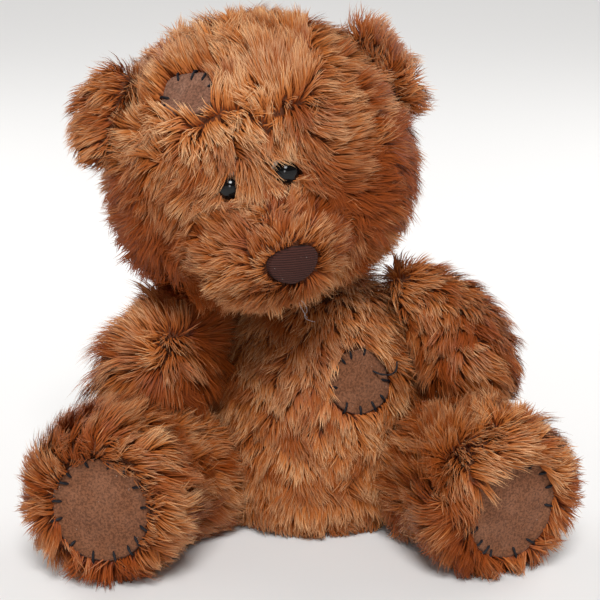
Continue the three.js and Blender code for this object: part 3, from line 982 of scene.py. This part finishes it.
def grow(skin, coats, tufts, outlines, others, rng):
    """All the strands of a skin: their paths, the skin's normals, their tones and their panels."""
    root, normal = spread_roots(skin, STRANDS_PER_MM2, rng)
    panel = nearest_panel(root, skin["panels"])

    def laid(key):
        return np.array([coats[name][key] for name in skin["panels"]])[panel]

    keep = rng.random(len(root)) < laid("density")
    keep &= ~((root[:, 2] < SEAT) & (normal[:, 2] < -0.8))
    keep &= ~buried(root + normal * ROOT_ROOM, others)
    root, normal, panel = root[keep], normal[keep], panel[keep]
    count = len(root)

    # Neighbouring strands make a lock. They share a heading, length and tone, and draw together.
    leaders = rng.choice(count, int(count * LOCKS), replace=False)
    lock = nearest_of(root, root[leaders])
    leader = leaders[lock]
    same = panel[leader] == panel
    each_lock = rng.normal(size=(6, len(leaders)))[:, lock]
    lock_turn, lock_long, lock_lean, lock_tone, lock_loose, lock_curl = each_lock

    flow = np.zeros_like(root)
    for number, name in enumerate(skin["panels"]):
        chosen = panel == number
        flow[chosen] = coats[name]["flow"](root[chosen])
    wander = ripples(root, SWIRL_SIZE, SEED + 7) + 0.5 * ripples(root, SWIRL_SIZE / 3, SEED + 8)
    flow = flow + wander * laid("swirl")[:, None]
    flow[:, 2] -= laid("droop")
    length = laid("length") * (1 + LOCKS_DIFFER * lock_long)
    tone = laid("tone") + LOCKS_DIFFER * lock_tone
    lean = laid("lean") - LOCKS_DIFFER * lock_lean
    # Painted light: locks that stand up higher are a little paler.
    tone = tone + 0.05 * lock_lean
    loose = 0.05 * np.abs(lock_loose)
    for spot in tufts:
        near = np.exp(-(np.linalg.norm(root - spot["at"], axis=1) / spot["reach"]) ** 2)
        if "heading" in spot:
            pull = np.clip(near * spot.get("strength", 1.5), 0, 1)[:, None]
            flow = flow * (1 - pull) + unit(np.array(spot["heading"], float)) * pull
        length = length * (1 + near * spot.get("longer", 0))
        tone = tone + near * spot.get("paler", 0)
        lean = lean + near * spot.get("flatter", 0)
        loose = loose + near * spot.get("over", 0)
    flow = unit(flow - normal * (flow * normal).sum(1, keepdims=True))
    stray = laid("stray") * lock_turn + rng.normal(0, STRAND_STRAY, count)
    flow = turned_about(flow, normal, stray)
    length = length * rng.uniform(*STRAND_LENGTHS, count)
    lean = np.clip(lean + rng.normal(0, 0.09, count), *LEAN_LIMITS)
    path = bent(root, normal, flow, length, lean)
    curl = length * (LOCKS_DIFFER * lock_curl + rng.normal(0, 0.04, count))
    sideways = np.cross(normal, flow) * curl[:, None]
    path = path + sideways[:, None, :] * CURL_POINTS[:, None]

    gather = laid("gather")[:, None] * GATHER_POINTS
    gather = (gather * rng.uniform(0.3, 1.1, (count, 1)) * same[:, None])[:, :, None]
    path = path + gather * (path[leader] - path)
    path = path + rng.normal(0, FRIZZ, path.shape) * FRIZZ_POINTS[:, None]
    path[:, :, 2] = np.maximum(path[:, :, 2], FLOOR_CLEAR)

    tone = tone + rng.normal(0, 0.065, count) + ripples(root, TONE_PATCHES, SEED + 11)[:, 0] * 0.10
    tone = tone + np.where(rng.random(count) < PALE_STRANDS, 0.35, 0.0)
    keep = ~over_cloth(outlines, root, path, loose)
    return path[keep], normal[keep], np.clip(tone[keep], 0.02, 0.98), panel[keep]


def ribbons(path, normal, tone, width, shape, rng):
    """Thin tapered strips along the strands: corners, their normals, faces and colour map."""
    count, steps = len(path), path.shape[1] - 1
    run = unit(np.gradient(path, axis=1))
    side = unit(np.cross(run, normal[:, None, :]) + 1e-9)
    rise = np.cross(side, run)
    roll = rng.uniform(-STRAND_ROLL, STRAND_ROLL, count)[:, None, None]
    side = side * np.cos(roll) + rise * np.sin(roll)
    rise = np.cross(side, run)
    width = width * rng.uniform(*STRAND_WIDTHS, count)
    soft = unit(normal[:, None, :] * 0.9 + rise * 0.8)
    points, normals, across, along = [], [], [], []
    for step, share in enumerate(shape):
        half = side[:, step] * (width * share / 2)[:, None]
        for edge in (-1, 1):
            points.append(path[:, step] + edge * half)
            normals.append(unit(soft[:, step] + edge * side[:, step] * 0.3))
            across.append(edge)
            along.append(step / steps)
    points.append(path[:, -1])
    normals.append(soft[:, -1])
    across.append(0)
    along.append(1.0)
    corners = [k for q in range(steps - 1) for k in (2 * q, 2 * q + 1, 2 * q + 3, 2 * q + 2)]
    corners += [2 * steps - 2, 2 * steps - 1, 2 * steps]
    starts = np.arange(steps) * 4
    per_strand = len(points)
    each = np.arange(count)[:, None]
    u = tone[:, None] + np.array(across)[corners] * 0.006
    v = np.broadcast_to(np.array(along)[corners], u.shape)
    return {
        "points": np.stack(points, axis=1).reshape(-1, 3),
        "normals": np.stack(normals, axis=1).reshape(-1, 3),
        "loops": (each * per_strand + np.array(corners)).ravel(),
        "faces": (each * len(corners) + starts).ravel(),
        "map": np.stack([u, v], axis=-1).reshape(-1, 2),
    }


def pile_object(name, path, normal, tone, rng):
    """One panel's pile: a plain undercoat of short strands, and finer long ones over it."""
    short = rng.random(len(path)) < UNDERCOAT
    under = path[short][:, [0, 1, 3]] * 0.85 + path[short][:, :1] * 0.15
    layers = [
        ribbons(under, normal[short], tone[short] * 0.85, UNDER_WIDTH, (0.9, 1.0), rng),
        ribbons(path[~short], normal[~short], tone[~short], STRAND_WIDTH, (0.75, 1.0, 0.75), rng),
    ]
    corner, loop = len(layers[0]["points"]), len(layers[0]["loops"])
    layers[1]["loops"] = layers[1]["loops"] + corner
    layers[1]["faces"] = layers[1]["faces"] + loop
    whole = {key: np.concatenate([layer[key] for layer in layers]) for key in layers[0]}

    mesh = bpy.data.meshes.new(name)
    mesh.vertices.add(len(whole["points"]))
    mesh.vertices.foreach_set("co", whole["points"].astype(np.float32).ravel())
    mesh.loops.add(len(whole["loops"]))
    mesh.loops.foreach_set("vertex_index", whole["loops"].astype(np.int32))
    mesh.polygons.add(len(whole["faces"]))
    mesh.polygons.foreach_set("loop_start", whole["faces"].astype(np.int32))
    mesh.update(calc_edges=True)
    shaded_smooth(mesh)
    layer = mesh.uv_layers.new(name="OFBake")
    layer.data.foreach_set("uv", whole["map"].astype(np.float32).ravel())
    mesh.normals_split_custom_set_from_vertices(whole["normals"].astype(np.float32))
    return link(bpy.data.objects.new(name, mesh))


# ------------------------ the bear
add_camera()
add_studio()
skins = make_skins()

torso_middle = centre_of("torso_stuffing")
head_middle = centre_of("head_stuffing")
nose_middle = centre_of("nose")
eyes_middle = (centre_of("eye_left") + centre_of("eye_right")) / 2
across_face = unit(centre_of("eye_left") - centre_of("eye_right"))
ahead = unit(eyes_middle - head_middle)
up_face = np.cross(ahead, across_face)


def on_head(across, up, forward=0.0):
    """A point in millimetres from the middle of the eyes: to the bear's left, up and forward."""
    return eyes_middle + (across_face * across + up_face * up + ahead * forward) * MM


OUTLINES = {
    "chest": Outline("chest_patch", torso_middle, 2.5, turned=8),
    "head": Outline("head_patch", head_middle, 4.0, up_face, turned=-10),
    "nose": Outline("nose", head_middle, 2.2, up_face, taper=0.2),
    "foot_left": Outline("foot_pad_left", centre_of("leg_left_stuffing"), 2.0),
    "foot_right": Outline("foot_pad_right", centre_of("leg_right_stuffing"), 2.0),
}
# The nose cloth is a little smaller than its solid, and sits low on it.
OUTLINES["nose"].half *= 0.95
OUTLINES["nose"].centre -= up_face * 1.2 * MM

# Where each hand-made stitch crosses the edge, in degrees round the piece from its right side.
STITCHES = {
    "chest": [145, 120, 100, 70, -15, -50, -75, -105, -135, 175],
    "head": [-175, 125, 80, 50, 15, -145],
    "foot_left": [70, 45, 25, -5, -55, -80, -115, -125, -140, -160],
    "foot_right": [105, 80, 60, 35, 10, -20, -40, -55, -75, -100, -130, -165, 170, 145, 130],
}


def sewn_cover(key, part, skin, crown, material, waviness, seed):
    """A suede patch or pad with its stitches, in place of its CAD node."""
    name = f"{part}_suede"
    outline = OUTLINES[key]
    angles = np.radians(STITCHES[key])
    cover = make_cover(name, outline, skin, PATCH_LIFT, crown, SUEDE_THICK, stitches=angles,
                       waviness=waviness, seed=seed)
    dressed(cover, MATERIALS[material])
    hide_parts(part)
    width, tall = (float(v) * 2 for v in outline.half)
    width * tall * outline.fullness()
    paths = whip_stitches(outline, skin, angles, PATCH_LIFT + crown * 0.25, seed=seed)
    make_thread(paths, name + "_stitches", STITCH_RADIUS, MATERIALS["thread"])


sewn_cover("chest", "chest_patch", skins["torso"], PATCH_CROWN, "suede", 0.045, seed=1)
# The head patch takes the copy of the suede with painted light.
sewn_cover("head", "head_patch", skins["head"], PATCH_CROWN, "suede_painted_lit", 0.02, seed=2)
sewn_cover("foot_left", "foot_pad_left", skins["leg_left"], PAD_CROWN, "suede", 0.02, seed=3)
sewn_cover("foot_right", "foot_pad_right", skins["leg_right"], PAD_CROWN, "suede", 0.02, seed=4)


def make_nose():
    nose = make_cover("nose_ribbed", OUTLINES["nose"], skins["head"], NOSE_LIFT, NOSE_CROWN,
                      NOSE_THICK, rings=34, around=128, waviness=0.02, seed=5)
    dressed(nose, MATERIALS["nose"])
    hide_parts("nose")


make_nose()


def curved(points):
    """A smooth path through a few points."""
    steps = 24
    points = np.asarray(points, float)
    padded = np.concatenate([[2 * points[0] - points[1]], points, [2 * points[-1] - points[-2]]])
    path = []
    for k in range(len(points) - 1):
        a, b, c, d = padded[k:k + 4]
        for t in np.linspace(0, 1, steps, endpoint=False):
            path.append(0.5 * (2 * b + (c - a) * t + (2 * a - 5 * b + 4 * c - d) * t ** 2
                               + (3 * b - a - 3 * c + d) * t ** 3))
    return np.array(path + [points[-1]])


def make_loose_threads():
    """A loop of slack stitching on the chest patch, and two pale threads caught under the chin."""
    outline = OUTLINES["chest"]
    loop = np.array([(0.45, 0.20), (0.62, 0.06), (0.90, -0.03), (1.12, 0.06), (1.24, 0.30)])
    flat = curved(loop) * outline.half
    rise = np.linspace(0, 1, len(flat))
    lift = PATCH_LIFT + (0.6 + 6.0 * np.sin(rise * 1.9)) * MM
    path = surface_over(outline, skins["torso"], flat, lift)
    make_thread([path], "chest_patch_loose_thread", LOOP_RADIUS, MATERIALS["thread"])
    chin = nose_middle + np.array([2, 3, -19]) * MM
    hanging = [
        [(0, 0, 0), (1, -2, -2), (2.5, -2.5, -4.5), (3, -2, -7), (5, -2, -8.2), (7.5, -1.5, -9)],
        [(1, 0, 1), (3, -1.5, -1), (3.8, -2.5, -3.4), (2.8, -2.5, -5.2), (4, -2, -6.8)],
    ]
    paths = [curved(chin + np.array(points) * MM) for points in hanging]
    make_thread(paths, "chin_loose_threads", CHIN_THREAD_RADIUS, MATERIALS["pale_thread"],
                sides=6)


make_loose_threads()


def axis_of_eye(part):
    """An eye's front pole and the way it faces: the two points where the most faces meet."""
    points = np.round(vertices_of(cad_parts[part].data), 6)
    places, uses = np.unique(points, axis=0, return_counts=True)
    poles = places[np.argsort(uses)[-2:]]
    poles = sorted(poles, key=lambda p: np.linalg.norm(p - head_middle))
    return poles[1], unit(poles[1] - poles[0])


def make_eye(side):
    """A domed plastic eye with its rounded rim and shank. Returns its front pole and its axis."""
    front, out = axis_of_eye(f"eye_{side}")
    back, end = EYE_DOME + EYE_RIM, EYE_DOME + SHANK_LENGTH
    arc = np.linspace(0, math.pi / 2, 12)
    profile = [(EYE_RADIUS * math.sin(t), -EYE_DOME * (1 - math.cos(t))) for t in arc]
    profile += [(EYE_RADIUS, -back + 0.3 * MM), (EYE_RADIUS * 0.94, -back), (SHANK_RADIUS, -back)]
    profile += [(SHANK_RADIUS, -end), (SHANK_RADIUS * 0.6, -end - 0.4 * MM)]
    x = unit(np.cross(out, [0, 0, 1.0]))
    y = np.cross(out, x)
    turn = np.linspace(0, 2 * math.pi, EYE_SIDES, endpoint=False)
    ring = np.cos(turn)[:, None] * x + np.sin(turn)[:, None] * y
    points = [front]
    for r, h in profile[1:]:
        points.extend(front + out * h + ring * r)
    faces = cap_faces(EYE_SIDES) + faces_between(1, len(profile) - 1, EYE_SIDES)
    faces.append(range(len(points) - 1, len(points) - 1 - EYE_SIDES, -1))
    eye = mesh_object(f"eye_{side}_domed", points, faces)
    faced_out(eye)
    dressed(eye, MATERIALS["eye"])
    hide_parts(f"eye_{side}")
    return front, out


class EyeRoom:
    """The oval space that the pile leaves free over an eye, its sides in millimetres."""

    def __init__(self, side, left, right, above, below):
        self.front, self.out = make_eye(side)
        self.sides = np.array([left, right, above, below]) * MM

    def reach(self, points):
        away = points - self.front
        across, up = away @ across_face, away @ up_face
        left, right, above, below = self.sides
        wide = np.where(across > 0, left, right)
        tall = np.where(up > 0, above, below)
        return np.hypot(across / wide, up / tall), away @ self.out


EYE_ROOMS = [
    EyeRoom("left", left=6.0, right=6.0, above=4.6, below=3.0),
    EyeRoom("right", left=3.4, right=3.0, above=3.8, below=4.4),
]
for side in ("left", "right"):
    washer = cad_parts[f"eye_washer_{side}"]
    washer.data.materials.clear()
    washer.data.materials.append(MATERIALS["washer"])

# How the pile is laid on each panel.
down = towards(0, 0, -1)
round_nose = away_from(nose_middle - ahead * 14 * MM)
crown = away_from(on_head(-8, -75, 0))
brow = away_from(on_head(-4, 95, -25))


def parted(roots):
    """Brushed up above the ragged parting. Below it, down over the brow and out over the cheeks."""
    broad, fine = ripples(roots, 34 * MM, SEED + 3), ripples(roots, 11 * MM, SEED + 4)
    ragged = broad[:, 0] * 3 + fine[:, 0] * 4
    height = (roots - eyes_middle) @ up_face + ragged * MM
    across = (roots - eyes_middle) @ across_face
    aside = np.clip(across / CHEEK, -1.5, 1.5)
    outward = across_face * (aside * np.abs(aside))[:, None]
    upper = unit(crown(roots) + outward * 0.3 - across_face * 0.25)
    lower = unit(brow(roots) + outward * 0.7)
    behind = (roots - eyes_middle) @ ahead < -PARTING_BACK
    far_side = across > PARTING_LEFT
    return np.where(((height > PARTING) & ~behind & ~far_side)[:, None], upper, lower)


side_of_head = coat(parted, tone=0.44, length=15.5 * MM, droop=0.05)
back = coat(down, tone=0.46, density=0.7)


def limb_coats(kind, side, flow, halves=("outer", "inner"), **changes):
    """The same coat on both panels of a limb or an ear."""
    return {f"{kind}_{side}_{half}_panel": coat(flow, **changes) for half in halves}


pad_left, pad_right = OUTLINES["foot_left"].centre, OUTLINES["foot_right"].centre
whorl = place_in("arm_right_outer_panel", (0.62, 0.22, 0.70))
shoulder = place_in("arm_left_inner_panel", (0.0, 0.5, 1.0))
ear_flow = combed((away_from(head_middle), 1.0), (down, 0.5))
COATS = {
    "torso_front_panel": coat(down, tone=0.50, length=13 * MM, lean=1.15, stray=0.2, swirl=0.3,
                              gather=0.3),
    "torso_back_left_panel": back,
    "torso_back_right_panel": back,
    "head_gusset": coat(parted, tone=0.50, length=16 * MM, lean=1.0, stray=0.3, droop=0.0),
    "head_left_panel": side_of_head,
    "head_right_panel": side_of_head,
    "muzzle_panel": coat(round_nose, tone=0.45, length=12 * MM, stray=0.3, swirl=0.3,
                         droop=0.0, lean=0.85),
    **limb_coats("arm", "right", combed((away_from(whorl), 1.0), (towards(-0.6, 0, -0.6), 0.4)),
                 length=18 * MM, stray=0.28, tone=0.24, swirl=0.4),
    **limb_coats("arm", "left", combed((away_from(shoulder), 1.0), (down, 0.3)), length=15 * MM,
                 stray=0.24, tone=0.26, swirl=0.35, lean=1.1),
    **limb_coats("leg", "left", combed((away_from(pad_left), 1.0), (towards(0.6, 0, -0.1), 0.45)),
                 length=15 * MM, swirl=0.3, tone=0.25, stray=0.4),
    **limb_coats("leg", "right", combed((away_from(pad_right), 1.0), (towards(0.5, 0, -0.1), 0.5)),
                 length=15 * MM, swirl=0.3, tone=0.25, stray=0.4),
    **limb_coats("ear", "left", away_from(head_middle), ("front", "back"), length=15 * MM,
                 lean=1.0, tone=0.48, droop=0.0),
    **limb_coats("ear", "right", ear_flow, ("front", "back"), length=12 * MM, lean=1.1, tone=0.46),
}


def beside(key, right, up):
    """A point by a sewn-on piece, in half widths and half heights from its middle."""
    return OUTLINES[key].lifted(np.array([right, up]) * OUTLINES[key].half)


def tuft(at, reach, **changes):
    """A spot where the pile differs from its panel's, fading out over a reach in millimetres."""
    return {"at": at, "reach": reach * MM, **changes}


# Locks that part from the lie of their panel, or reach over the edge of a patch or an eye, and
# places where the pile is paler or darker, some of them painted light and painted shade as marked.
TUFTS = {
    "head": [
        tuft(on_head(6, 13), 6, heading=across_face - up_face * 0.45, paler=0.3, longer=0.2,
             flatter=0.1, over=0.3),
        tuft(beside("head", 0, -1.2), 10, paler=0.1, over=0.3),
        # Painted light: the top of the head is paler, where it faces up into the light.
        tuft(on_head(-8, 58, -16), 42, paler=0.16),
        # Painted shade: both cheeks are darker.
        tuft(on_head(-58, -30, -25), 36, paler=-0.7),
        tuft(on_head(56, -20, -25), 38, paler=-0.5),
        tuft(on_head(-24, -34), 13, paler=0.25),
        # Painted shade in the crease beside the muzzle, on the bear's left.
        tuft(on_head(24, -22), 16, paler=-0.3),
        tuft(on_head(-24, 32), 9, paler=0.4),
        tuft(on_head(-8, 32), 9, paler=0.4),
        tuft(on_head(10, 31), 9, paler=0.3),
    ],
    "torso": [
        tuft(beside("chest", 0.75, 1.15), 8, heading=(0.6, 0, -0.8), strength=1.0, paler=0.25,
             longer=0.3, over=0.2),
        tuft(beside("chest", -0.9, 0.7), 7, heading=(0.35, 0, -0.9), paler=0.2, over=0.3),
        tuft(place_in("torso_front_panel", (0.98, 0.9, 0.42)), 16, heading=(0.9, 0.2, -0.4),
             longer=0.6, flatter=-0.45, paler=-0.3),
        tuft(place_in("torso_front_panel", (0.02, 0.9, 0.42)), 16, heading=(-0.9, 0.2, -0.4),
             longer=0.6, flatter=-0.45, paler=-0.3),
        # Painted shadow of the head on the chest, under the chin.
        tuft(place_in("torso_front_panel", (0.3, 0, 0.95)), 36, paler=-0.7),
        tuft(place_in("torso_front_panel", (0, 0.5, 0.45)), 26, paler=-0.35),
    ],
    "leg_left": [
        tuft(beside("foot_left", -0.8, 0.8), 13, heading=(0.55, -0.2, -0.8), paler=0.15,
             longer=0.25, over=0.35),
        tuft(beside("foot_left", 0.9, 1.2), 26, paler=0.35),
        tuft(beside("foot_left", -1.0, 1.05), 17, heading=(0.6, -0.2, -0.65), paler=0.1),
        tuft(place_in("leg_left_inner_panel", (0.0, 0.4, 0.5)), 22, paler=-0.3),
    ],
    "leg_right": [
        tuft(beside("foot_right", 1.4, 0.2), 15, heading=(0.95, 0, 0.1), paler=0.35, longer=0.1),
        tuft(beside("foot_right", 1.3, -0.9), 14, paler=0.3),
        tuft(beside("foot_right", -0.4, -1.3), 14, paler=-0.25),
    ],
    "arm_right": [
        tuft(place_in("arm_right_outer_panel", (0.1, 0.3, 0.2)), 24, heading=(-0.75, 0, -0.6),
             longer=0.6, strength=0.6, paler=0.3),
        tuft(place_in("arm_right_outer_panel", (0.60, 0.05, 0.70)), 8, heading=(0.85, 0, -0.3),
             paler=0.35, flatter=0.2, longer=0.1),
        tuft(whorl, 12, paler=0.2),
        # Painted shade on the lower inner side of the arm, against the body.
        tuft(place_in("arm_right_inner_panel", (0.95, 0.2, 0.3)), 30, paler=-0.4),
        tuft(place_in("arm_right_outer_panel", (0.7, 0.5, 1.0)), 18, paler=-0.2),
    ],
    "arm_left": [
        # Painted shade on the lower inner side of the arm, against the body.
        tuft(place_in("arm_left_inner_panel", (0.2, 0.0, 0.25)), 24, paler=-0.4),
        tuft(place_in("arm_left_outer_panel", (0.55, 0.1, 0.9)), 20, paler=0.12),
        # Painted light on the top of the shoulder by the neck, where the head's shadow falls.
        tuft(place_in("arm_left_inner_panel", (0.1, 0.4, 1.0)), 16, paler=0.35, flatter=0.2),
    ],
}


def make_piles():
    pile_names = {
        "head_left_panel": "head_left_pile", "head_right_panel": "head_right_pile",
        "head_gusset": "head_gusset_pile", "muzzle_panel": "muzzle_pile",
        "torso_front_panel": "torso_front_pile", "torso_back_left_panel": "torso_back_pile",
        "torso_back_right_panel": "torso_back_pile",
    }
    clear = {
        "head": [(OUTLINES["head"], 0.97, 0.93), (OUTLINES["nose"], 0.98, 0.86)]
                + [(room, 1.0, 1.0) for room in EYE_ROOMS],
        "torso": [(OUTLINES["chest"], 0.97, 0.93)],
        "leg_left": [(OUTLINES["foot_left"], 0.97, 0.95)],
        "leg_right": [(OUTLINES["foot_right"], 0.97, 0.95)],
    }
    for number, (part, skin) in enumerate(skins.items()):
        rng = np.random.default_rng(SEED + 100 + number)
        others = [other for key, other in skins.items() if key != part]
        slot = "ear_plush" if part.startswith("ear") else "plush"
        path, normal, tone, panel = grow(skin, COATS, TUFTS.get(part, []), clear.get(part, []),
                                         others, rng)
        names = [pile_names.get(name, f"{part}_pile") for name in skin["panels"]]
        for name in dict.fromkeys(names):
            chosen = np.isin(panel, [i for i, n in enumerate(names) if n == name])
            pile = pile_object(name, path[chosen], normal[chosen], tone[chosen], rng)
            dressed(pile, MATERIALS[slot])


make_piles()
